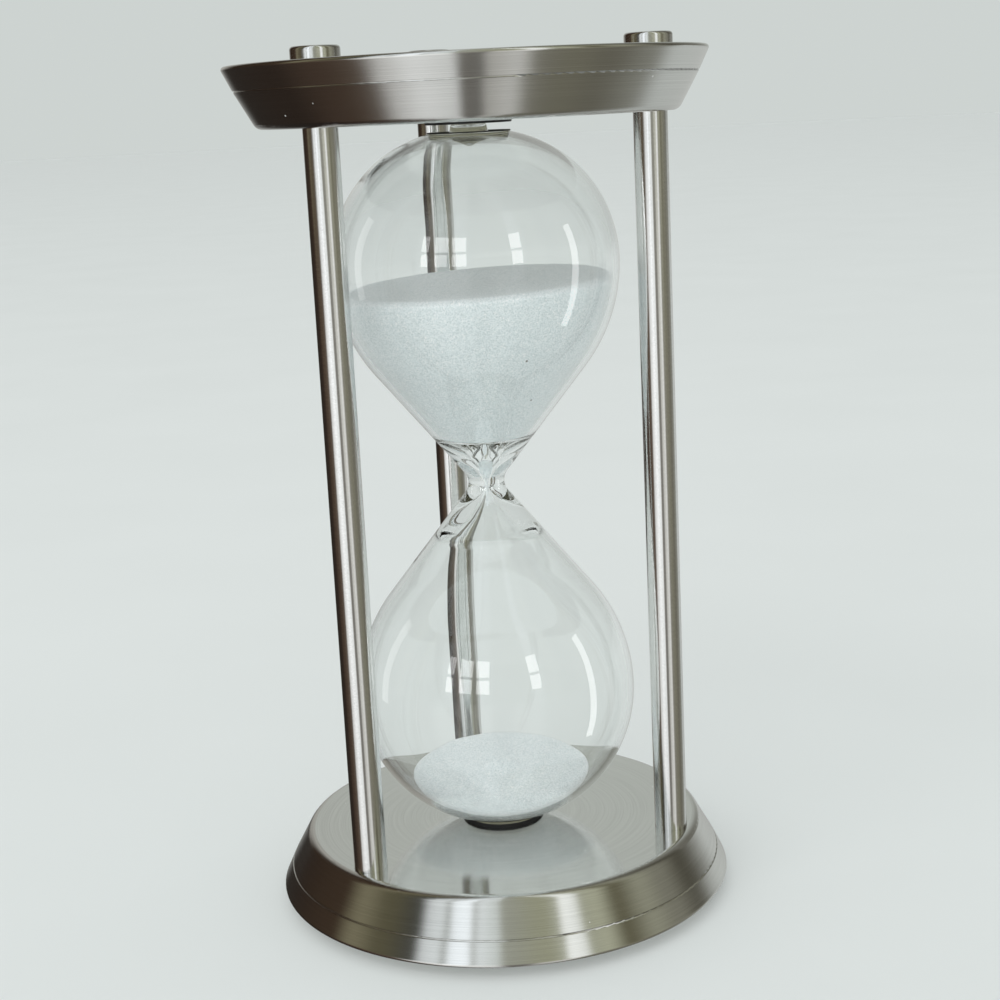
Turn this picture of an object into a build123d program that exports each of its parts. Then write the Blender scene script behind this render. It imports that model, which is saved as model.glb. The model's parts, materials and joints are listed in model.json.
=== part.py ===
from build123d import *
import os
from math import asin, atan, cos, radians, sin, sqrt

# Free-standing sand glass, about 60 minutes, in its own frame: +Z up, millimetres.
# The origin is on the table, under the centre of the base. The frame is symmetric about mid height, so it
# stands on either end. Two turned plates are clamped on three tubular posts by tie rods and cap nuts, and
# a one-piece blown glass stands between rubber pads on the plates' inner faces.

# ---- driving dimensions ----
overall_height = 275.0
plate_diameter = 150.0
plate_thickness = 19.0
rim_band_height = 7.5        # from the wide rim to the turned groove
groove_diameter = 142.8      # cone diameter at the groove
inner_face_diameter = 130.0  # before the edge is rounded
rim_round = 0.9
inner_edge_round = 3.0
groove_radius = 0.35

post_names = ("rear", "left", "right")
post_angles = (90.0, 210.0, 330.0)
post_circle_diameter = 115.0
post_diameter = 10.4
post_bore = 7.0
post_seat_depth = 1.0        # recess in each plate that locates the post's end
post_edge_chamfer = 0.2
running_gap = 0.05           # radial clearance of the parts that slide into each other

rod_diameter = 6.0           # M6 tie rod, drawn at its outside diameter
rod_hole_diameter = 6.6
rod_end_gap = 0.5
rod_end_chamfer = 0.6
cap_diameter = 14.6
cap_height = 4.0
cap_edge_round = 1.0
cap_floor = 2.0              # metal left over the blind thread
barrel_diameter = 9.0
barrel_length = 8.0
barrel_hole_depth = 8.5
overcut = 1.0                # how far a hole's cutter reaches past the face it opens

pad_diameter = 27.0
pad_thickness = 1.2
pad_edge_round = 0.4
ring_diameter = 26.0
ring_bore = 23.6
ring_thickness = 0.4

# glass, measured from the neck at mid height
neck_radius = 5.8
neck_fillet = 5.5
cone_slope = 0.8             # radius gained for each millimetre away from the neck
belly_radius = 45.4
belly_distance = 70.0
upper_shoulder_arc = 41.5
lower_shoulder_arc = 43.8
upper_end = 110.6
wall = 1.8
upper_end_wall = 1.2
lower_end_wall = 2.4
bore_radius = 0.6
throat_drop = 2.0            # the narrowest point lies this far below mid height
upper_thin_wall = 15.7       # distances at which the thick neck has become thin wall
lower_thin_wall = 19.0
upper_mouth_slope = 0.45     # how steeply the upper funnel leaves the thin wall
# (radius, distance) on the way to the throat
upper_funnel = ((6.8, 11.2), (2.8, 7.4), (1.7, 4.8), (1.0, 2.2))
lower_funnel = (
    (14.9, 17.0), (12.1, 15.0), (9.2, 12.9), (6.4, 10.8), (4.1, 8.8), (2.4, 6.8), (1.3, 4.9), (0.8, 3.4))
nub_base_radius = 6.1
nub_top_radius = 5.4
bead_foot_radius = 7.5       # the seal's bead inside the upper bulb
bead_flank = (3.4, 1.3)      # (radius, depth) where the bead's flank is steepest
bead_depth = 2.8

# sand
sand_gap = 0.05
upper_sand_level = 64.7      # above the neck, at the glass
upper_sand_dip = 2.5
upper_sand_tilt = 2.5        # degrees
upper_sand_lean = 11.0       # polar angle of the side on which the surface stands higher
mound_edge = 100.7           # below the neck, mean of the edge
mound_radius = 29.0
mound_rise = 2.6             # from the edge to the foot of the small central peak
peak_rise = 1.6
peak_radius = 8.0
mound_flank_slope = 0.12     # fall per millimetre at the foot of the small peak
peak_shoulder = (0.5, 0.6)   # point of the peak's flank, as shares of its radius and its rise
mound_apron_drop = 2.0       # fall from the mound's edge out to the apron
mound_tilt = 5.0             # degrees
mound_lean = 78.0
surface_reach = 50.0         # the sand surfaces are drawn this wide, past the glass all round
surface_height = 60.0        # height of the space cleared above the upper sand
mound_depth = 40.0           # depth of the body drawn under the mound, past the bulb's end
stream_radius = 0.45
stream_top = 2.0             # above the neck, where the upper sand hands over to the stream
stream_length = 9.0

# ---- derived places ----
mid = overall_height / 2
base_inner = cap_height + plate_thickness
top_inner = overall_height - base_inner
pad_top = base_inner + pad_thickness
pad_bottom = top_inner - pad_thickness
lower_end = mid - pad_top
nub_height = pad_bottom - (mid + upper_end)
cone_angle = atan(cone_slope)
cone_start = (neck_radius + neck_fillet * (1 - cos(cone_angle)), neck_fillet * sin(cone_angle))
# radius of the long arc that leaves the cone tangent and stands upright at the belly
cone_at_belly = cone_start[0] + cone_slope * (belly_distance - cone_start[1])
cone_side_arc = (cone_at_belly - belly_radius) * cos(cone_angle) / (1 - cos(cone_angle))


def turned(outline):
    """Solid of revolution about Z from a closed outline drawn as (radius, height)."""
    return revolve(Plane.XZ * make_face(outline), Axis.Z)


def disc(diameter, bottom, height):
    return Pos(0, 0, bottom) * Cylinder(
        diameter / 2, height, align=(Align.CENTER, Align.CENTER, Align.MIN))


def mirrored(piece):
    """The same piece at the other end of the frame."""
    return mirror(piece, about=Plane.XY.offset(mid))


def at_posts(piece):
    """One copy of a piece, drawn on the Z axis, at each post."""
    radius = post_circle_diameter / 2
    return [Pos(radius * cos(radians(a)), radius * sin(radians(a)), 0) * piece for a in post_angles]


# ---- frame ----
def base_plate():
    """Turned plate: wide rim down, two cones that meet at a fine groove, flat inner face."""
    rim, groove, inner = plate_diameter / 2, groove_diameter / 2, inner_face_diameter / 2
    bottom = cap_height
    outline = Polyline(
        (0, bottom), (rim, bottom), (groove, bottom + rim_band_height),
        (inner, base_inner), (0, base_inner), close=True)
    plate = turned(outline)
    outer_edge = plate.edges().filter_by(GeomType.CIRCLE).sort_by(Axis.Z)[0]
    plate = fillet(outer_edge, rim_round)
    inner_edge = plate.edges().filter_by(GeomType.CIRCLE).sort_by(Axis.Z)[-1]
    plate = fillet(inner_edge, inner_edge_round)
    plate -= Pos(0, 0, bottom + rim_band_height) * Torus(groove, groove_radius)
    hole = disc(barrel_diameter + 2 * running_gap, bottom - overcut, barrel_hole_depth + overcut)
    hole += disc(rod_hole_diameter, bottom, plate_thickness)
    seat = base_inner - post_seat_depth
    hole += disc(post_diameter + 2 * running_gap, seat, post_seat_depth + overcut)
    for cut in at_posts(hole):
        plate -= cut
    return plate


def post():
    """Tube that stands in a shallow recess of each plate."""
    bottom = base_inner - post_seat_depth
    length = overall_height - 2 * bottom
    tube = disc(post_diameter, bottom, length) - disc(post_bore, bottom, length)
    ends = tube.edges().filter_by(GeomType.CIRCLE).group_by(Axis.Z)
    outer = [group.sort_by(SortBy.RADIUS)[-1] for group in (ends[0], ends[-1])]
    return chamfer(outer, post_edge_chamfer)


def tie_rod():
    """Threaded rod through a post, from one cap nut's blind end to the other's."""
    bottom = cap_floor + rod_end_gap
    rod = disc(rod_diameter, bottom, overall_height - 2 * bottom)
    return chamfer(rod.edges().filter_by(GeomType.CIRCLE), rod_end_chamfer)


def cap_nut():
    """Blind sleeve nut: smooth round head, which is also a foot, and a barrel in the plate."""
    head = disc(cap_diameter, 0, cap_height)
    outer_edge = head.edges().filter_by(GeomType.CIRCLE).sort_by(Axis.Z)[0]
    head = fillet(outer_edge, cap_edge_round)
    nut = head + disc(barrel_diameter, cap_height, barrel_length)
    thread_length = cap_height + barrel_length - cap_floor
    return nut - disc(rod_diameter + 2 * running_gap, cap_floor, thread_length)


def seat_pad():
    """Rubber disc that the glass stands on."""
    pad = disc(pad_diameter, base_inner, pad_thickness)
    return fillet(pad.edges().filter_by(GeomType.CIRCLE).sort_by(Axis.Z)[-1], pad_edge_round)


def nub_ring():
    """Narrow rubber ring that lies on the upper end of the glass, near its edge."""
    bottom = mid + upper_end
    return disc(ring_diameter, bottom, ring_thickness) - disc(ring_bore, bottom, ring_thickness)


# ---- glass and sand ----
def at(radius, distance, side):
    """A point of the wall: side is +1 for the upper bulb and -1 for the lower one."""
    return (radius, mid + side * distance)


def cap_line(radius, height, depth):
    """Arc from the axis out to radius at height, lying depth below it on the axis: a shallow dish."""
    sphere = (radius**2 + depth**2) / (2 * depth)
    half = radius / 2
    return ThreePointArc(
        (0, height - depth),
        (half, height - depth + sphere - sqrt(sphere**2 - half**2)),
        (radius, height))


def bulb_line(side, shoulder_arc, start_distance, end_distance, inset):
    """One bulb's wall from the cone beside the neck to its flat end, moved inwards by inset.

    The cone, the long arc and the shoulder arc meet tangent.
    """
    long_arc = cone_side_arc - inset
    long_centre = belly_radius - cone_side_arc
    short_arc = shoulder_arc - inset
    short_centre = belly_radius - shoulder_arc

    def on_long_arc(angle):
        return at(long_centre + long_arc * cos(angle), belly_distance - long_arc * sin(angle), side)

    def on_shoulder(angle):
        return at(short_centre + short_arc * cos(angle), belly_distance + short_arc * sin(angle), side)

    tangent = on_long_arc(cone_angle)
    cone_run = belly_distance - long_arc * sin(cone_angle) - start_distance
    start = at(tangent[0] - cone_slope * cone_run, start_distance, side)
    end_angle = asin((end_distance - belly_distance) / short_arc)
    return [
        Line(start, tangent),
        ThreePointArc(tangent, on_long_arc(cone_angle / 2), on_long_arc(0)),
        ThreePointArc(on_shoulder(0), on_shoulder(end_angle / 2), on_shoulder(end_angle)),
    ]


def funnel_line(start, side, way, funnel, gap):
    """Wall of the funnel, leaving the thin wall in direction way and running along the axis at the throat."""
    points = [at(radius - gap, distance, side) for radius, distance in funnel]
    return Spline(
        start, *points, (bore_radius - gap, mid - throat_drop),
        tangents=(way, (0, -side)))


def cavity(gap=0.0):
    """The hollow in the glass: both bulbs, the bore and the seal's bead; gap makes it smaller all round."""
    top = mid + upper_end - upper_end_wall - gap
    bottom = mid - lower_end + lower_end_wall + gap
    upper = bulb_line(1, upper_shoulder_arc, upper_thin_wall, top - mid, wall + gap)
    lower = bulb_line(-1, lower_shoulder_arc, lower_thin_wall, mid - bottom, wall + gap)
    flank_radius, flank_depth = bead_flank
    return turned([
        Spline(
            (bead_foot_radius, top), (flank_radius, top - flank_depth), (0, top - bead_depth),
            tangents=((-1, 0), (-1, 0))),
        Line((0, top - bead_depth), (0, bottom)),
        Line((0, bottom), lower[-1] @ 1),
        *lower,
        funnel_line(lower[0] @ 0, -1, (-cone_slope, 1), lower_funnel, gap),
        funnel_line(upper[0] @ 0, 1, (-1, -upper_mouth_slope), upper_funnel, gap),
        *upper,
        Line(upper[-1] @ 1, (bead_foot_radius, top)),
    ])


def glass():
    """One-piece blown glass: two bulbs, a solid neck with a fine bore, and a sealed nub on top."""
    top = mid + upper_end
    nub_top = top + nub_height
    upper = bulb_line(1, upper_shoulder_arc, cone_start[1], upper_end, 0)
    lower = bulb_line(-1, lower_shoulder_arc, cone_start[1], lower_end, 0)
    nub = Polyline(upper[-1] @ 1, (nub_base_radius, top), (nub_top_radius, nub_top), (0, nub_top))
    outside = turned([
        *lower,
        ThreePointArc(lower[0] @ 0, (neck_radius, mid), upper[0] @ 0),
        *upper,
        nub,
        Polyline((0, nub_top), (0, pad_top), lower[-1] @ 1),
    ])
    return outside - cavity()


def leaning(tilt, lean):
    """Rotation that lifts a level surface by tilt degrees on the side at polar angle lean."""
    return Rot(Z=lean - 90) * Rot(X=tilt) * Rot(Z=90 - lean)


def sand_upper():
    """Sand left in the upper bulb, with a slightly dished and slightly tilted surface."""
    dish = turned([
        cap_line(surface_reach, 0, upper_sand_dip),
        Polyline(
            (0, -upper_sand_dip), (0, surface_height),
            (surface_reach, surface_height), (surface_reach, 0)),
    ])
    above = Pos(0, 0, mid + upper_sand_level) * leaning(upper_sand_tilt, upper_sand_lean) * dish
    below = disc(2 * surface_reach, 0, mid + stream_top)
    return cavity(sand_gap) - above - below


def sand_lower():
    """Sand in the lower bulb: a low leaning mound with a small peak where the stream lands."""
    peak = mound_rise + peak_rise
    shoulder_radius, shoulder_rise = peak_shoulder
    mound = turned([
        Spline(
            (0, peak),
            (shoulder_radius * peak_radius, mound_rise + shoulder_rise * peak_rise),
            (peak_radius, mound_rise),
            tangents=((1, 0), (1, -mound_flank_slope))),
        Line((peak_radius, mound_rise), (mound_radius, 0)),
        Polyline(
            (mound_radius, 0), (surface_reach, -mound_apron_drop),
            (surface_reach, -mound_depth), (0, -mound_depth), (0, peak)),
    ])
    return cavity(sand_gap) & (Pos(0, 0, mid - mound_edge) * leaning(mound_tilt, mound_lean) * mound)


def sand_stream():
    """The thread of sand in the bore and just under it."""
    return disc(2 * stream_radius, mid - stream_length, stream_length + stream_top)


def build():
    """Every separate piece of the object, by name."""
    pieces = {
        "bottom_plate": base_plate(),
        "top_plate": mirrored(base_plate()),
        "seat_pad_bottom": seat_pad(),
        "seat_pad_top": mirrored(seat_pad()),
        "nub_ring": nub_ring(),
        "glass": glass(),
        "sand_upper": sand_upper(),
        "sand_lower": sand_lower(),
        "sand_stream": sand_stream(),
    }
    repeated = {
        "post": post(),
        "tie_rod": tie_rod(),
        "cap_nut_bottom": cap_nut(),
        "cap_nut_top": mirrored(cap_nut()),
    }
    for kind, piece in repeated.items():
        for place, copy in zip(post_names, at_posts(piece)):
            pieces[f"{kind}_{place}"] = copy
    return pieces


os.makedirs("parts", exist_ok=True)
for name, piece in build().items():
    piece.label = name
    export_step(piece, f"parts/{name}.step")
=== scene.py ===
"""Looks of the hourglass: glass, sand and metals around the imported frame. Metres, +Z up."""
import json
import math

import bmesh
import bpy
from mathutils import Matrix, Vector, noise

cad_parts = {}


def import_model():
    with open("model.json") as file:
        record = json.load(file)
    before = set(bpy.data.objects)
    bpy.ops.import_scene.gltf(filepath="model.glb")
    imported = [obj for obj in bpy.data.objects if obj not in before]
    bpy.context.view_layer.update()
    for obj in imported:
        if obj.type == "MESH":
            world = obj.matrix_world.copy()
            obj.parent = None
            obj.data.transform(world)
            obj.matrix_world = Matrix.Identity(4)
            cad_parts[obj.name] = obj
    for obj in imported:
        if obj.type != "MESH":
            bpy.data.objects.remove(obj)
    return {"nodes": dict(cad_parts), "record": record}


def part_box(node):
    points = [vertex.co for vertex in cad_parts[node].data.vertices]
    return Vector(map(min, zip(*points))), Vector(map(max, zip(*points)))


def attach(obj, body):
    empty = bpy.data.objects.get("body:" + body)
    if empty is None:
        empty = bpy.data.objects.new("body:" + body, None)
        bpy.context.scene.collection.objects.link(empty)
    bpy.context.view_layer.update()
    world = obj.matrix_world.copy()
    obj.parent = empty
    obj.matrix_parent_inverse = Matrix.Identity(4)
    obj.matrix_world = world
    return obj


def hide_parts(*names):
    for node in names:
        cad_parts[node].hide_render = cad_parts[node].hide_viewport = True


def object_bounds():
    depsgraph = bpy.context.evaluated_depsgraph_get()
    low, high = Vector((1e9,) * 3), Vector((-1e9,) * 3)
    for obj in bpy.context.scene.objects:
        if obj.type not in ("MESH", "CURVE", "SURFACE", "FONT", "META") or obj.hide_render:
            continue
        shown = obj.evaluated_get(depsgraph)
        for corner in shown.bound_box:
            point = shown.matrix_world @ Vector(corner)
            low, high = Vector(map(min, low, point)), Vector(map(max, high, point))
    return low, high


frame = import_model()
cad_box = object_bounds()
nodes = frame["nodes"]

# ---- places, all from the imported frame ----
HEIGHT = cad_box[1].z
MID = HEIGHT / 2
GLASS_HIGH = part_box("glass")[1]
PAD_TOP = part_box("seat_pad_bottom")[1].z
RING_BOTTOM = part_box("nub_ring")[0].z

# ---- the glass's own shape, as the CAD has it; distances are measured from the neck at mid height ----
BELLY_RADIUS = GLASS_HIGH.x
BELLY_DISTANCE = 0.070
NECK_RADIUS = 0.0058
NECK_FILLET = 0.0055
CONE_SLOPE = 0.8
UPPER_SHOULDER = 0.0415
LOWER_SHOULDER = 0.0438
UPPER_END = RING_BOTTOM - MID
LOWER_END = MID - PAD_TOP
WALL = 0.0018
BORE_RADIUS = 0.0006
UPPER_END_WALL = 0.0012
LOWER_END_WALL = 0.0024
THROAT = MID - 0.002
UPPER_THIN_WALL = 0.0157
LOWER_THIN_WALL = 0.0190
UPPER_MOUTH = (-1, -0.45)
LOWER_MOUTH = (-CONE_SLOPE, 1)
UPPER_FUNNEL = ((0.0068, 0.0112), (0.0028, 0.0074), (0.0017, 0.0048), (0.0010, 0.0022))
LOWER_FUNNEL = (
    (0.0149, 0.0170), (0.0121, 0.0150), (0.0092, 0.0129), (0.0064, 0.0108), (0.0041, 0.0088),
    (0.0024, 0.0068), (0.0013, 0.0049), (0.0008, 0.0034))
NUB_BASE = 0.0061
NUB_TOP = 0.0054
NUB_CHAMFER = 0.0003
NUB_TAPER = 0.0001
BEAD_FOOT = 0.0075
BEAD_FLANK = (0.0034, 0.0013)
BEAD_DEPTH = 0.0028

# ---- unevenness of the blown inner wall; each fade is (start, width) ----
SHOULDER_WAVE = 0.0003
WALL_WAVE = 0.00012
WAVE_SCALE = 42
SHOULDER_FADE = (0.084, 0.014)
SEAL_FADE = (0.010, 0.008)
FLARE_FADE = (0.022, 0.010)
HEAP_FADE = (0.084, 0.010)

# ---- fineness of the glass's mesh ----
GLASS_TURNS = 256
ARC_STEPS = 48
NECK_STEPS = 12
FUNNEL_STEPS = 12
BEAD_STEPS = 14
CONE_STEP = 0.0015
NUB_STEP = 0.0008
NUB_RING = 0.002
END_RING = 0.004

# ---- sand: levels, leans as (tilt, towards), and the shapes of the two surfaces ----
SAND_GAP = 0.00005
UPPER_LEVEL = MID + 0.0647
UPPER_LEAN = (math.radians(2.5), math.radians(11))
UPPER_DISH = 0.0025
UPPER_TIP = MID + 0.002
RIM_ROLL = 0.0016
RIM_SHARE = 0.07
MOUND_EDGE = MID - 0.1007
MOUND_LEAN = (math.radians(5.0), math.radians(78))
MOUND_RISE = 0.0026
MOUND_FLAT = 0.008
MOUND_RUN = 0.021
PEAK_HEIGHT = 0.0026
PEAK_RADIUS = 0.0075
PEAK_FLANK = 1.4
MOUND_LIFT = 0.00001
GRAIN_HEIGHT = 0.00012
GRAIN_SCALE = 900
GRAIN_LAYER = 50
GRAIN_FADE = 8
SAND_TURNS = 360
SURFACE_RINGS = 110
SIDE_RINGS = 60
EDGE_GUESS = 0.03
EDGE_TRIES = 12
LEAST_RADIUS = 0.0004
ON_AXIS = 1e-7

# ---- camera: across a table, low in front, with a small tilt of the hand ----
EYE_DISTANCE = 0.561
EYE_HEIGHT = 0.2565
EYE_POLAR = math.radians(257.89)
EYE_YAW = 0.0073
EYE_PITCH = 0.2202
EYE_ROLL = -0.0494
LENS_MM = 63.78
SENSOR_MM = 36

# ---- materials and light ----
FLAT_POLISH = 0.4
FLAT_LIMIT = 0.97
LATHE_ROTATION = 0.25
DUST_SCALE = 230.0
DUST_SIZE = 0.06
DUST_CHANCE = 0.93
DARK_GRAIN_SCALE = 420.0
DARK_GRAIN_SIZE = 0.15
DARK_GRAIN_CHANCE = 0.985
FLOOR_RADIUS = 14
LIGHT_BOUNCES = 96
PANE_RADIANCE = 5.5
PALE_SEEN = (0.612, 0.652, 0.636, 1)
PALE_SCATTERED = (0.84, 0.86, 0.85, 1)


def make_camera():
    """Camera on the polar direction EYE_POLAR, turned by a small yaw, a pitch down and a roll."""
    data = bpy.data.cameras.new("camera")
    data.lens = LENS_MM
    data.sensor_width = SENSOR_MM
    data.clip_start = 0.05
    data.clip_end = 50
    camera = bpy.data.objects.new("camera", data)
    bpy.context.scene.collection.objects.link(camera)
    heading = EYE_POLAR + math.pi - EYE_YAW
    ahead = Vector((
        math.cos(heading) * math.cos(EYE_PITCH),
        math.sin(heading) * math.cos(EYE_PITCH),
        -math.sin(EYE_PITCH)))
    level_right = Vector((math.sin(heading), -math.cos(heading), 0))
    level_up = level_right.cross(ahead)
    right = math.cos(EYE_ROLL) * level_right + math.sin(EYE_ROLL) * level_up
    up = right.cross(ahead)
    turn = Matrix((right, up, -ahead)).transposed()
    eye = Vector((EYE_DISTANCE * math.cos(EYE_POLAR), EYE_DISTANCE * math.sin(EYE_POLAR), EYE_HEIGHT))
    camera.matrix_world = Matrix.Translation(eye) @ turn.to_4x4()
    bpy.context.scene.camera = camera


# ---- mesh helpers ----
def lathe(name, outlines, turns):
    """Mesh of revolution about Z. Each outline is a row of (radius, height) from axis to axis.

    Going up an outline the faces look outwards, and going down it they look at the axis. An outline comes
    with a function that moves its points, or None.
    """
    mesh = bmesh.new()
    for outline, shift in outlines:
        rings = []
        for radius, height in outline:
            count = 1 if radius < ON_AXIS else turns
            ring = []
            for i in range(count):
                angle = 2 * math.pi * i / turns
                point = Vector((radius * math.cos(angle), radius * math.sin(angle), height))
                ring.append(mesh.verts.new(shift(point) if shift else point))
            rings.append(ring)
        for low, high in zip(rings, rings[1:]):
            for i in range(turns):
                j = (i + 1) % turns
                corners = [low[i % len(low)], low[j % len(low)], high[j % len(high)], high[i % len(high)]]
                face = list(dict.fromkeys(corners))
                if len(face) > 2:
                    mesh.faces.new(face)
    return finished(name, mesh)


def finished(name, mesh):
    """The mesh as a smooth-shaded object in the scene."""
    data = bpy.data.meshes.new(name)
    mesh.to_mesh(data)
    mesh.free()
    for face in data.polygons:
        face.use_smooth = True
    piece = bpy.data.objects.new(name, data)
    bpy.context.scene.collection.objects.link(piece)
    return piece


def even(points, step):
    """The same line with points added so that none are further apart than step."""
    line = [points[0]]
    for start, end in zip(points, points[1:]):
        parts = max(1, math.ceil(math.dist(start, end) / step))
        for k in range(1, parts + 1):
            line.append(tuple(a + (b - a) * k / parts for a, b in zip(start, end)))
    return line


def smooth_curve(points, first_way, last_way, steps):
    """Points of a curve through the given ones, after the first, with given directions at its ends."""
    ways = [Vector(first_way)]
    for before, after in zip(points, points[2:]):
        ways.append(Vector(after) - Vector(before))
    ways.append(Vector(last_way))
    line = []
    for (start, way_in), (end, way_out) in zip(zip(points, ways), zip(points[1:], ways[1:])):
        start, end = Vector(start), Vector(end)
        reach = (end - start).length
        a, b = way_in.normalized() * reach, way_out.normalized() * reach
        for k in range(1, steps + 1):
            t = k / steps
            spot = (2 * t**3 - 3 * t**2 + 1) * start + (t**3 - 2 * t**2 + t) * a
            spot += (3 * t**2 - 2 * t**3) * end + (t**3 - t**2) * b
            line.append(tuple(spot))
    return line


def fade(value, start, width):
    """Zero up to start, one from start + width on, and a straight rise between them."""
    return min(max((value - start) / width, 0), 1)


# ---- glass ----
def wall_line(side, shoulder, end, start, inset=0.0):
    """One bulb's wall from distance start to distance end, moved inwards by inset."""
    cone_angle = math.atan(CONE_SLOPE)
    cone_foot = NECK_FILLET * math.sin(cone_angle)
    cone_foot_radius = NECK_RADIUS + NECK_FILLET * (1 - math.cos(cone_angle))
    overshoot = cone_foot_radius + CONE_SLOPE * (BELLY_DISTANCE - cone_foot) - BELLY_RADIUS
    long_arc = overshoot * math.cos(cone_angle) / (1 - math.cos(cone_angle))
    long_centre = BELLY_RADIUS - long_arc
    points = []
    for k in range(ARC_STEPS + 1):
        angle = cone_angle * (1 - k / ARC_STEPS)
        radius = long_centre + (long_arc - inset) * math.cos(angle)
        points.append((radius, BELLY_DISTANCE - (long_arc - inset) * math.sin(angle)))
    first = points[0]
    foot = (first[0] - CONE_SLOPE * (first[1] - start), start)
    points = even([foot, first], CONE_STEP)[:-1] + points
    end_angle = math.asin((end - BELLY_DISTANCE) / (shoulder - inset))
    for k in range(1, ARC_STEPS + 1):
        angle = end_angle * k / ARC_STEPS
        radius = BELLY_RADIUS - shoulder + (shoulder - inset) * math.cos(angle)
        points.append((radius, BELLY_DISTANCE + (shoulder - inset) * math.sin(angle)))
    return [(radius, MID + side * distance) for radius, distance in points]


def funnel_line(side, start, way, funnel, gap=0.0):
    """Inner wall from the end of the thin wall, left in direction way, to the throat."""
    points = [start] + [(radius - gap, MID + side * distance) for radius, distance in funnel]
    points.append((BORE_RADIUS - gap, THROAT))
    return smooth_curve(points, way, (0, -side), FUNNEL_STEPS)


def bulb_lines(gap=0.0):
    """The two bulbs' inner walls, each from its thin wall's start to its end; gap makes them smaller."""
    top = UPPER_END - UPPER_END_WALL - gap
    bottom = LOWER_END - LOWER_END_WALL - gap
    upper = wall_line(1, UPPER_SHOULDER, top, UPPER_THIN_WALL, WALL + gap)
    lower = wall_line(-1, LOWER_SHOULDER, bottom, LOWER_THIN_WALL, WALL + gap)
    return upper, lower


def wavy(point):
    """Inner wall of blown glass: a little uneven away from the sand, more so at the upper shoulder."""
    distance = point.z - MID
    radius = math.hypot(point.x, point.y)
    upper = fade(distance, *SHOULDER_FADE) * fade(radius, *SEAL_FADE)
    heap_start, heap_width = HEAP_FADE
    lower = fade(-distance, *FLARE_FADE) * fade(distance, -heap_start, heap_width)
    wave = noise.noise(point * WAVE_SCALE) * (SHOULDER_WAVE * upper + WALL_WAVE * lower)
    outwards = Vector((point.x, point.y, 0)).normalized()
    return point - outwards * wave


def make_glass():
    """One blown piece: two bulbs, a solid neck with its bore, the sealed nub and its bead inside."""
    cone_angle = math.atan(CONE_SLOPE)
    foot = NECK_FILLET * math.sin(cone_angle)
    upper = wall_line(1, UPPER_SHOULDER, UPPER_END, foot)
    lower = wall_line(-1, LOWER_SHOULDER, LOWER_END, foot)
    neck = []
    for k in range(1, 2 * NECK_STEPS):
        angle = cone_angle * (k / NECK_STEPS - 1)
        neck.append((NECK_RADIUS + NECK_FILLET * (1 - math.cos(angle)), MID + NECK_FILLET * math.sin(angle)))
    nub_top = GLASS_HIGH.z
    nub = even([upper[-1], (NUB_BASE, MID + UPPER_END)], NUB_STEP)[1:]
    nub += [(NUB_TOP + NUB_TAPER, nub_top - NUB_CHAMFER), (NUB_TOP - NUB_CHAMFER, nub_top)]
    nub += [(NUB_RING, nub_top), (0, nub_top)]
    outside = [(0, PAD_TOP), (END_RING, PAD_TOP)] + lower[::-1] + neck + upper + nub
    inner_upper, inner_lower = bulb_lines()
    ceiling = inner_upper[-1][1]
    inner_floor = inner_lower[-1][1]
    tip = (0, ceiling - BEAD_DEPTH)
    flank = (BEAD_FLANK[0], ceiling - BEAD_FLANK[1])
    bead = [tip] + smooth_curve([tip, flank, (BEAD_FOOT, ceiling)], (1, 0), (1, 0), BEAD_STEPS)
    funnel_up = funnel_line(1, inner_upper[0], UPPER_MOUTH, UPPER_FUNNEL)
    funnel_down = funnel_line(-1, inner_lower[0], LOWER_MOUTH, LOWER_FUNNEL)
    inside = bead + inner_upper[::-1] + funnel_up + funnel_down[::-1][1:] + inner_lower
    inside += [(END_RING, inner_floor), (0, inner_floor)]
    return lathe("glass_vessel", [(outside, None), (inside, wavy)], GLASS_TURNS)


# ---- sand ----
def leaning(spot, lean, level):
    """Height at a spot of a surface that rises by the first angle of lean towards the second."""
    tilt, polar = lean
    return level + math.tan(tilt) * (spot[0] * math.cos(polar) + spot[1] * math.sin(polar))


def radius_at(line, height):
    """Radius of a wall line at a height, by straight interpolation."""
    for (r0, z0), (r1, z1) in zip(line, line[1:]):
        if min(z0, z1) <= height <= max(z0, z1) and z0 != z1:
            return r0 + (r1 - r0) * (height - z0) / (z1 - z0)
    return 0.0


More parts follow.
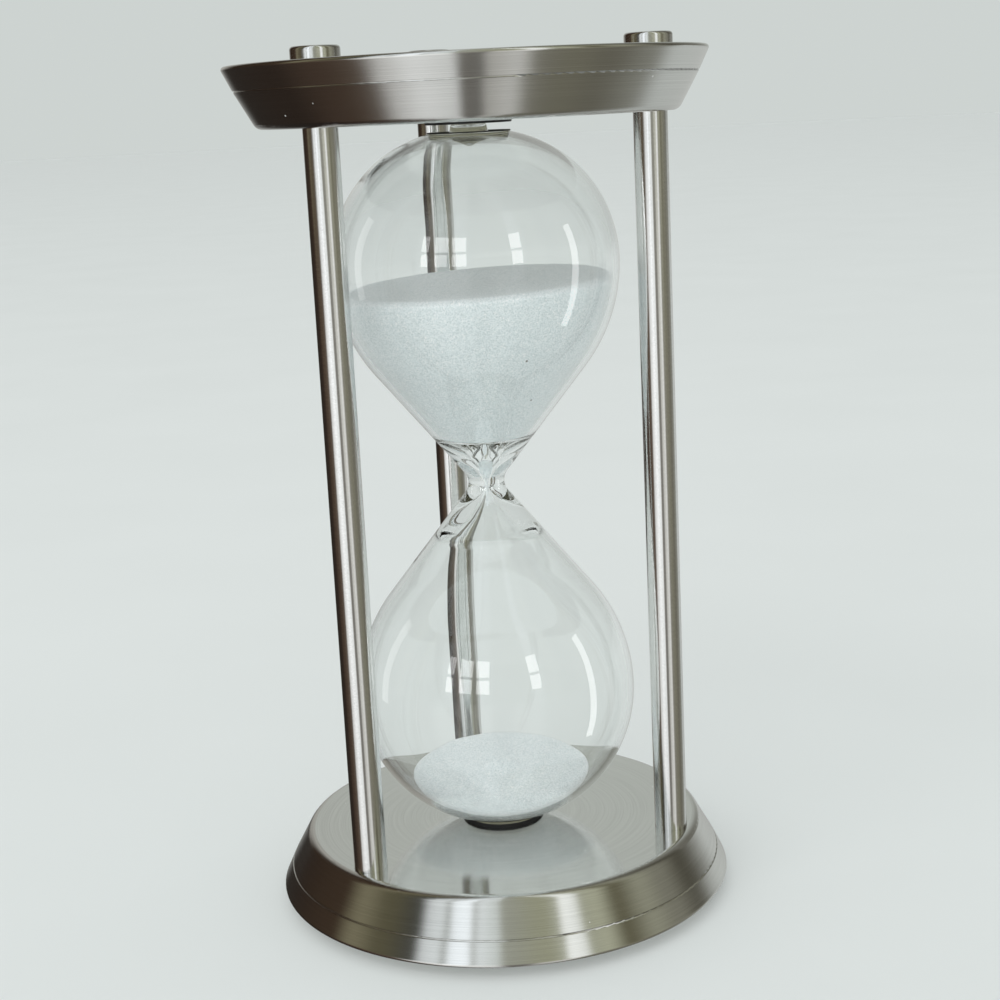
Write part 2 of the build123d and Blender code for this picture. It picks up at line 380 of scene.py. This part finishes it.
def sand_body(name, wall, lean, level, rise, bottom):
    """Sand against the glass: its top is a leaning plane plus rise, and its sides follow the inner wall.

    rise takes the share of the way to the glass, and the radius.
    """
    mesh = bmesh.new()
    angles = [2 * math.pi * i / SAND_TURNS for i in range(SAND_TURNS)]

    def edge(angle):
        """Where the leaning surface meets the wall in this direction."""
        radius = EDGE_GUESS
        for _ in range(EDGE_TRIES):
            spot = (radius * math.cos(angle), radius * math.sin(angle))
            radius = radius_at(wall, leaning(spot, lean, level) + rise(1.0, radius))
        return radius

    def skin(low, high):
        """Faces between two rows of points."""
        for i in range(SAND_TURNS):
            j = (i + 1) % SAND_TURNS
            mesh.faces.new((low[i], high[i], high[j], low[j]))

    edges = [edge(a) for a in angles]
    centre = mesh.verts.new((0, 0, level + rise(0.0, 0.0)))
    rows = []
    for k in range(1, SURFACE_RINGS + 1):
        share = k / SURFACE_RINGS
        row = []
        for angle, limit in zip(angles, edges):
            radius = share * limit
            spot = (radius * math.cos(angle), radius * math.sin(angle))
            height = leaning(spot, lean, level) + rise(share, radius)
            place = Vector((spot[0] * GRAIN_SCALE, spot[1] * GRAIN_SCALE, level * GRAIN_LAYER))
            grain = noise.noise(place) * GRAIN_HEIGHT
            row.append(mesh.verts.new((*spot, height + grain * (1 - share**GRAIN_FADE))))
        rows.append(row)
    for i in range(SAND_TURNS):
        mesh.faces.new((centre, rows[0][i], rows[0][(i + 1) % SAND_TURNS]))
    rim = rows[-1]
    for k in range(1, SIDE_RINGS + 1):
        share = k / SIDE_RINGS
        row = []
        for angle, top in zip(angles, rim):
            height = top.co.z + (bottom - top.co.z) * share
            radius = max(radius_at(wall, height), LEAST_RADIUS)
            row.append(mesh.verts.new((radius * math.cos(angle), radius * math.sin(angle), height)))
        rows.append(row)
    for low, high in zip(rows, rows[1:]):
        skin(low, high)
    tip = mesh.verts.new((0, 0, bottom))
    for i in range(SAND_TURNS):
        mesh.faces.new((rows[-1][(i + 1) % SAND_TURNS], rows[-1][i], tip))
    return finished(name, mesh)


def dish(share, _radius):
    """Top of the upper sand: a shallow dish whose rim rolls off to the glass."""
    roll = fade(share, 1 - RIM_SHARE, RIM_SHARE)
    return -UPPER_DISH * (1 - share**2) - RIM_ROLL * roll**2


def mound(_share, radius):
    """Top of the lower heap: a broad cone with a small rounded peak where the stream lands."""
    broad = MOUND_RISE * (1 - max(radius - MOUND_FLAT, 0) / MOUND_RUN)
    peak = PEAK_HEIGHT * (0.5 + 0.5 * math.cos(math.pi * min(radius / PEAK_RADIUS, 1)**PEAK_FLANK))
    return broad + peak


def make_sand():
    """The sand left in the upper bulb and the heap in the lower one."""
    upper, lower = bulb_lines(SAND_GAP)
    upper_wall = upper[::-1] + funnel_line(1, upper[0], UPPER_MOUTH, UPPER_FUNNEL, SAND_GAP)
    lower_bottom = lower[-1][1] + MOUND_LIFT
    sand_up = sand_body("sand_heap_upper", upper_wall, UPPER_LEAN, UPPER_LEVEL, dish, UPPER_TIP)
    sand_down = sand_body("sand_heap_lower", lower, MOUND_LEAN, MOUND_EDGE, mound, lower_bottom)
    return sand_up, sand_down


# ---- node helpers ----
class Tree:
    """Short ways to add nodes to a node tree."""

    def __init__(self, tree):
        self.tree = tree

    def node(self, kind, settings=None, **inputs):
        made = self.tree.nodes.new(kind)
        for key, value in (settings or {}).items():
            setattr(made, key, value)
        for key, value in inputs.items():
            self.feed(made.inputs[key.replace("_", " ")], value)
        return made

    def feed(self, socket, value):
        """Links another node's output to the socket, or sets the socket to a plain value."""
        if isinstance(value, bpy.types.NodeSocket):
            self.tree.links.new(value, socket)
        else:
            socket.default_value = value

    def math(self, operation, a, b=0.0, clamp=False):
        made = self.node("ShaderNodeMath", {"operation": operation, "use_clamp": clamp})
        self.feed(made.inputs[0], a)
        self.feed(made.inputs[1], b)
        return made.outputs[0]

    def mix(self, share, a, b, blend="MIX"):
        made = self.node("ShaderNodeMix", {"data_type": "RGBA", "blend_type": blend})
        self.feed(made.inputs[0], share)
        self.feed(made.inputs[6], a)
        self.feed(made.inputs[7], b)
        return made.outputs[2]

    def ramp(self, value, stops, interpolation="LINEAR"):
        """Colours at their places, each stop as (place, colour)."""
        made = self.node("ShaderNodeValToRGB", Fac=value)
        made.color_ramp.interpolation = interpolation
        elements = made.color_ramp.elements
        while len(elements) < len(stops):
            elements.new(0.5)
        for element, (place, colour) in zip(elements, stops):
            element.position = place
            element.color = (*colour, 1)
        return made.outputs[0]


class Look(Tree):
    """A node material with a Principled shader."""

    def __init__(self, name, **values):
        self.material = bpy.data.materials.new(name)
        self.material.use_nodes = True
        super().__init__(self.material.node_tree)
        self.shader = self.tree.nodes["Principled BSDF"]
        for key, value in values.items():
            self.shader.inputs[key.replace("_", " ")].default_value = value

    def drive(self, socket, value):
        """Feeds one of the shader's own sockets."""
        self.feed(self.shader.inputs[socket], value)

    def place(self):
        """The point in the object's own frame, which is the CAD's."""
        return self.node("ShaderNodeTexCoord").outputs["Object"]

    def bump(self, height, distance, strength):
        return self.node("ShaderNodeBump", Height=height, Distance=distance, Strength=strength).outputs[0]

    def flat_face(self):
        """One on faces that look straight up or down, zero elsewhere."""
        normal = self.node("ShaderNodeNewGeometry").outputs["Normal"]
        height = self.node("ShaderNodeSeparateXYZ", Vector=normal).outputs[2]
        return self.math("GREATER_THAN", self.math("ABSOLUTE", height), FLAT_LIMIT)

    def rare_spots(self, place, scale, size, chance):
        """One in small round spots, in a few of a pattern's cells."""
        cells = self.node("ShaderNodeTexVoronoi", Vector=place, Scale=scale)
        draw = self.node("ShaderNodeSeparateColor", Color=cells.outputs["Color"]).outputs[1]
        small = self.math("LESS_THAN", cells.outputs["Distance"], size)
        return self.math("MULTIPLY", small, self.math("GREATER_THAN", draw, chance))


def grey(value):
    return (value, value, value)


# ---- materials ----
def turned_metal(name, colour, roughness, anisotropy, line_scale):
    """Satin metal with fine lathe lines round the Z axis, smoother flat faces and a few specks of dust."""
    look = Look(name, Metallic=1.0, Base_Color=(*colour, 1), Roughness=roughness, Anisotropic=anisotropy)
    look.drive("Anisotropic Rotation", LATHE_ROTATION)
    place = look.place()
    x, y, z = look.node("ShaderNodeSeparateXYZ", Vector=place).outputs
    radius = look.math("SQRT", look.math("ADD", look.math("MULTIPLY", x, x), look.math("MULTIPLY", y, y)))
    unit = look.node("ShaderNodeVectorMath", {"operation": "NORMALIZE"}, Vector=place).outputs[0]
    around = look.node("ShaderNodeSeparateXYZ", Vector=unit)

    def lines(scale, turn, detail):
        """Noise drawn out round the axis; scale is across the lines, and turn along them."""
        vector = look.node(
            "ShaderNodeCombineXYZ", X=look.math("MULTIPLY", around.outputs[0], turn),
            Y=look.math("MULTIPLY", around.outputs[1], turn), Z=look.math("MULTIPLY", radius, scale))
        made = look.node(
            "ShaderNodeTexNoise", {"noise_dimensions": "4D"}, Vector=vector.outputs[0],
            W=look.math("MULTIPLY", z, scale), Scale=1.0, Detail=detail, Roughness=0.6)
        return made.outputs["Fac"]

    fine = lines(line_scale, 1.6, 2.0)
    broad = lines(line_scale / 4, 1.1, 1.0)
    cloud = look.node("ShaderNodeTexNoise", Vector=place, Scale=45.0, Detail=3.0, Roughness=0.6)
    mixed = look.math("ADD", look.math("MULTIPLY", fine, 0.8), look.math("MULTIPLY", broad, 0.2))
    dark = tuple(c * 0.90 for c in colour)
    light = tuple(min(1.0, c * 1.08) for c in colour)
    look.drive("Base Color", look.ramp(mixed, [(0.3, dark), (0.7, light)]))
    rough = look.math("ADD", roughness - 0.05, look.math("MULTIPLY", mixed, 0.06))
    rough = look.math("ADD", rough, look.math("MULTIPLY", cloud.outputs["Fac"], 0.04), clamp=True)
    polish = look.math("MULTIPLY", look.flat_face(), FLAT_POLISH)
    look.drive("Roughness", look.math("MULTIPLY", rough, look.math("SUBTRACT", 1.0, polish)))
    look.drive("Normal", look.bump(mixed, 0.000006, 0.35))
    dust = look.rare_spots(place, DUST_SCALE, DUST_SIZE, DUST_CHANCE)
    look.drive("Metallic", look.math("SUBTRACT", 1.0, dust))
    tangent = look.node("ShaderNodeTangent", {"direction_type": "RADIAL", "axis": "Z"})
    look.drive("Tangent", tangent.outputs[0])
    return look.material


def rubber():
    """Black rubber edge with a fine grain; the flat faces are coloured olive."""
    look = Look("pad_rubber_look", Base_Color=(0.012, 0.012, 0.013, 1), Roughness=0.55)
    grain = look.node("ShaderNodeTexNoise", Vector=look.place(), Scale=2600.0, Detail=3.0).outputs["Fac"]
    edge = look.ramp(grain, [(0.3, grey(0.008)), (0.75, grey(0.022))])
    # Olive colour on the flat faces, black only at the edge.
    olive_flat_faces = look.ramp(grain, [(0.3, (0.30, 0.28, 0.19)), (0.75, (0.38, 0.36, 0.26))])
    look.drive("Base Color", look.mix(look.flat_face(), edge, olive_flat_faces))
    look.drive("Roughness", look.ramp(grain, [(0.2, grey(0.45)), (0.8, grey(0.7))]))
    look.drive("Normal", look.bump(grain, 0.00005, 0.5))
    return look.material


def clear_glass():
    """Clear glass with a faint greenish tint and a slow wave in its surface."""
    look = Look(
        "glass_look", Base_Color=(0.985, 0.995, 0.99, 1), Roughness=0.0, IOR=1.5,
        Transmission_Weight=1.0)
    wave = look.node("ShaderNodeTexNoise", Vector=look.place(), Scale=38.0, Detail=1.5).outputs["Fac"]
    look.drive("Normal", look.bump(wave, 0.0006, 0.25))
    return look.material


def grains():
    """Pale sand that scatters light inside: grains of different shades, a few dark, and a few painted pure
    white as glints, which are painted highlights.
    """
    look = Look(
        "sand_look", Base_Color=(0.785, 0.845, 0.86, 1), Roughness=0.8, Subsurface_Weight=0.6,
        Subsurface_Radius=(1.0, 1.0, 1.0), Subsurface_Scale=0.0022)
    place = look.place()
    cells = look.node("ShaderNodeTexVoronoi", Vector=place, Scale=4200.0)
    shade = look.node("ShaderNodeSeparateColor", Color=cells.outputs["Color"])
    # The top few per cent of grains ramp up to pure white as painted glints (painted highlights); the other
    # stops are the grains' own shades.
    fine = look.ramp(shade.outputs[0], [
        (0.0, (0.57, 0.64, 0.65)), (0.5, (0.785, 0.845, 0.86)), (0.93, (0.86, 0.905, 0.915)),
        (0.96, (1.0, 1.0, 1.0))])
    dark = look.rare_spots(place, DARK_GRAIN_SCALE, DARK_GRAIN_SIZE, DARK_GRAIN_CHANCE)
    look.drive("Base Color", look.mix(dark, fine, (0.16, 0.15, 0.13, 1)))
    look.drive("Normal", look.bump(cells.outputs["Distance"], 0.00018, 0.6))
    return look.material


def dress(piece, material):
    piece.data.materials.clear()
    piece.data.materials.append(material)


# ---- stage ----
def floor():
    """Plain pale floor, as light as the background; it isn't mirrored in anything."""
    mesh = bmesh.new()
    bmesh.ops.create_circle(mesh, cap_ends=True, segments=128, radius=FLOOR_RADIUS)
    piece = finished("floor", mesh)
    look = Look("floor_look", Roughness=0.7, Specular_IOR_Level=0.1)
    cloud = look.node("ShaderNodeTexNoise", Vector=look.place(), Scale=7.0, Detail=2.0).outputs["Fac"]
    pale = look.ramp(cloud, [(0.2, (0.765, 0.795, 0.790)), (0.8, (0.785, 0.815, 0.811))])
    look.drive("Base Color", pale)
    dress(piece, look.material)
    piece.visible_glossy = False


def panel(name, turn, elevation, width, height, radiance, distance=2.0):
    """Light panel seen from the object at a turn from the camera's side and an elevation, in degrees."""
    data = bpy.data.lights.new(name, "AREA")
    data.shape = "RECTANGLE"
    data.size = width
    data.size_y = height
    data.energy = radiance * math.pi * width * height
    lamp = bpy.data.objects.new(name, data)
    bpy.context.scene.collection.objects.link(lamp)
    polar = EYE_POLAR + math.radians(turn)
    rise = math.radians(elevation)
    target = Vector((0, 0, MID))
    out = Vector((math.cos(polar) * math.cos(rise), math.sin(polar) * math.cos(rise), math.sin(rise)))
    lamp.location = target + distance * out
    lamp.rotation_mode = "QUATERNION"
    lamp.rotation_quaternion = out.to_track_quat("Z", "Y")
    lamp.visible_camera = False
    lamp.visible_transmission = False
    return lamp


def lights(glass, heap):
    """Panes and strips that only the glass mirrors, a card under the heap, and one large soft light."""
    rows = ((11.0, 0.34), (23.5, 0.40))  # (elevation, height)
    columns = ((-40.0, 0.20), (-26.5, 0.36), (-12.0, 0.38), (33.0, 0.30))  # (turn, width)
    panes = []
    for column, (turn, width) in enumerate(columns):
        for row, (elevation, height) in enumerate(rows):
            panes.append(panel(f"window_{column}_{row}", turn, elevation, width, height, PANE_RADIANCE))
    panes.append(panel("side_strip_right", 84.0, -4.0, 0.24, 2.2, 4.5))
    panes.append(panel("side_strip_left", -104.0, 8.0, 0.30, 1.5, 1.5))
    mirroring = bpy.data.collections.new("mirroring")
    mirroring.objects.link(glass)
    for pane in panes:
        pane.visible_diffuse = False
        pane.light_linking.receiver_collection = mirroring
    lit = bpy.data.collections.new("lit_from_below")
    lit.objects.link(heap)
    card = panel("card_below", 0.0, -60.0, 1.2, 1.2, 1.1, distance=1.0)
    card.visible_glossy = False
    card.light_linking.receiver_collection = lit
    card.light_linking.blocker_collection = lit
    soft = panel("soft_light", -25.0, 35.0, 7.0, 5.4, 0.9, distance=6.0)
    soft.visible_glossy = False


def world():
    """Pale for the eye and for soft light; metal and glass mirror a room with windows and dark walls."""
    made = bpy.data.worlds.new("room")
    bpy.context.scene.world = made
    made.use_nodes = True
    tree = Tree(made.node_tree)
    direction = tree.node("ShaderNodeTexCoord").outputs["Generated"]
    turned = tree.node(
        "ShaderNodeMapping", {"vector_type": "POINT"}, Vector=direction, Rotation=(0, 0, -EYE_POLAR))
    x, y, z = tree.node("ShaderNodeSeparateXYZ", Vector=turned.outputs[0]).outputs
    around = tree.math("DIVIDE", tree.math("ADD", tree.math("ARCTAN2", y, x), math.pi), 2 * math.pi)

    def room(*stops):
        """Colours seen all round, each at its turn in degrees from the camera's side, to the right."""
        return tree.ramp(around, [(0.5 + turn / 360, colour) for turn, colour in stops], "EASE")

    wall = room(
        (-180, (0.53, 0.56, 0.53)), (-160, (0.40, 0.39, 0.36)), (-135, (0.035, 0.022, 0.014)),
        (-98, (0.05, 0.032, 0.02)), (-84, (0.22, 0.20, 0.13)), (-68, (0.11, 0.10, 0.06)),
        (-50, (0.06, 0.06, 0.05)), (-44, (0.80, 0.84, 0.86)), (-37, (0.85, 0.90, 0.92)),
        (-34, (0.42, 0.44, 0.42)), (-30, (1.15, 1.22, 1.28)), (-22, (1.20, 1.27, 1.33)),
        (-19, (0.50, 0.52, 0.50)), (-16, (0.88, 0.93, 0.95)), (-8, (0.75, 0.80, 0.79)),
        (-2, (0.38, 0.39, 0.33)), (20, (0.36, 0.365, 0.26)), (27, (0.42, 0.43, 0.33)),
        (30, (1.15, 1.18, 1.16)), (37, (1.05, 1.08, 1.06)), (42, (0.42, 0.43, 0.33)),
        (50, (0.48, 0.49, 0.37)), (62, (0.13, 0.12, 0.075)), (78, (0.32, 0.32, 0.245)),
        (92, (0.23, 0.225, 0.18)), (110, (0.08, 0.074, 0.055)), (132, (0.17, 0.165, 0.14)),
        (180, (0.53, 0.56, 0.53)))
    below = room(
        (-180, (0.50, 0.51, 0.49)), (-150, (0.03, 0.024, 0.02)), (-112, (0.035, 0.024, 0.018)),
        (-82, (0.085, 0.056, 0.04)), (-60, (0.14, 0.105, 0.08)), (-47, (1.0, 1.0, 0.98)),
        (-30, (1.3, 1.32, 1.32)), (-9, (1.15, 1.17, 1.16)), (-1, (0.26, 0.245, 0.22)),
        (8, (0.26, 0.25, 0.23)), (16, (0.75, 0.74, 0.70)), (32, (0.95, 0.95, 0.92)),
        (42, (0.30, 0.29, 0.24)), (62, (0.26, 0.25, 0.19)), (84, (0.20, 0.19, 0.15)),
        (108, (0.30, 0.30, 0.26)), (124, (0.66, 0.69, 0.67)), (180, (0.50, 0.51, 0.49)))
    above_horizon = tree.math("MULTIPLY", tree.math("ADD", z, 0.08), 8.0, clamp=True)
    dimmed_by_depth = tree.math("ADD", tree.math("MULTIPLY", z, 0.45), 1.0, clamp=True)
    mirrored = tree.mix(above_horizon, tree.mix(1.0, below, dimmed_by_depth, "MULTIPLY"), wall)
    path = tree.node("ShaderNodeLightPath")
    scattered = tree.math("MULTIPLY", path.outputs["Diffuse Depth"], 1.0, clamp=True)
    not_refracted = tree.math("SUBTRACT", 1.0, path.outputs["Is Transmission Ray"])
    reflected = tree.math("MULTIPLY", path.outputs["Is Glossy Ray"], not_refracted)
    reflected = tree.math("MULTIPLY", reflected, tree.math("SUBTRACT", 1.0, scattered))
    pale = tree.mix(scattered, PALE_SEEN, PALE_SCATTERED)
    tree.feed(tree.tree.nodes["Background"].inputs["Color"], tree.mix(reflected, pale, mirrored))


# ---- put together ----
make_camera()
bpy.context.scene.view_settings.view_transform = "Standard"
bpy.context.scene.cycles.max_bounces = LIGHT_BOUNCES
bpy.context.scene.cycles.glossy_bounces = LIGHT_BOUNCES
bpy.context.scene.cycles.transmission_bounces = LIGHT_BOUNCES
floor()
world()

slot_looks = {
    "plate_metal": turned_metal("plate_metal_look", (0.72, 0.72, 0.70), 0.17, 0.93, 5200),
    "post_metal": turned_metal("post_metal_look", (0.76, 0.76, 0.75), 0.15, 0.85, 4200),
    "rod_metal": turned_metal("rod_metal_look", (0.5, 0.5, 0.5), 0.35, 0.3, 3000),
    "pad_rubber": rubber()}
for entry in frame["record"]["subparts"]:
    if entry["material_slot"] in slot_looks:
        dress(nodes[entry["node"]], slot_looks[entry["material_slot"]])

glass = make_glass()
dress(glass, clear_glass())
glass.visible_shadow = False
glass.visible_diffuse = False
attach(glass, "vessel")
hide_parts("glass")

sand_look = grains()
upper_heap, lower_heap = make_sand()
for heap, node in ((upper_heap, "sand_upper"), (lower_heap, "sand_lower")):
    dress(heap, sand_look)
    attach(heap, "vessel")
    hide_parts(node)
dress(nodes["sand_stream"], sand_look)
lights(glass, lower_heap)
